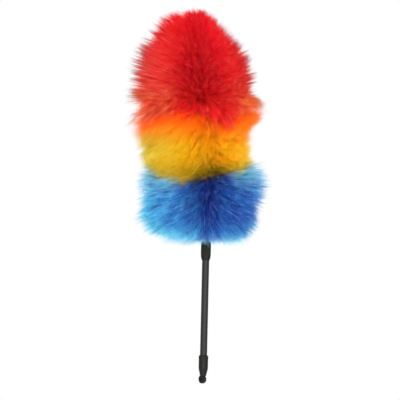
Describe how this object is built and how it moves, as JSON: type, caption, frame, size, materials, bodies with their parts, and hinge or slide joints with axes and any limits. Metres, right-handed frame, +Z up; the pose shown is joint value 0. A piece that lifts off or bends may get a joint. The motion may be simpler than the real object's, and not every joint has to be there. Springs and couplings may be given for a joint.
{
  "type": "static duster",
  "caption": "Hand duster: fluffy multicoloured fibre head on a twisted wire core, on a telescopic handle with a ribbed twist-lock collar and a swivelling hanging eye.",
  "frame": {"origin": "on the handle's axis, at the middle of the grip between the end cap and the lock ferrule", "axes": "+Z up along the handle's axis towards the fluffy head; +Y along the hole of the hanging eye; +X completes a right-handed frame, across the flat faces of the eye"},
  "size_m": [0.2144, 0.2193, 0.5983],
  "materials": {
    "black_plastic": "satin",
    "black_tube": "satin",
    "natural_nylon": "satin",
    "steel_wire": "satin",
    "red_plastic": "satin",
    "blue_fibre": "satin",
    "yellow_fibre": "satin",
    "red_fibre": "satin"
  },
  "bodies": {
    "handle": {"outer_tube": "black_tube", "lock_ferrule": "black_plastic", "end_cap": "black_plastic"},
    "collar": {"lock_nut": "black_plastic"},
    "eye": {"hang_eye": "black_plastic"},
    "slider": {"slide_bush": "natural_nylon"},
    "head": {"inner_tube": "black_tube", "head_socket": "black_plastic", "core_wire": "steel_wire", "tip_cap": "red_plastic", "pile_blue": "blue_fibre", "pile_yellow": "yellow_fibre", "pile_red": "red_fibre"}
  },
  "joints": [
    {"name": "lock_twist", "type": "hinge", "parent": "handle", "child": "collar", "pos_m": [0, 0, 0.0946], "axis": [0, 0, 1], "range_deg": [0, 90]},
    {"name": "eye_swivel", "type": "hinge", "parent": "handle", "child": "eye", "pos_m": [0, 0, -0.1147], "axis": [0, 0, 1], "continuous": true},
    {"name": "telescope", "type": "slide", "parent": "handle", "child": "slider", "axis": [0, 0, 1], "range_m": [0, 0.16]},
    {"name": "head_twist", "type": "hinge", "parent": "slider", "child": "head", "pos_m": [0, 0, 0.1067], "axis": [0, 0, 1], "continuous": true}
  ]
}
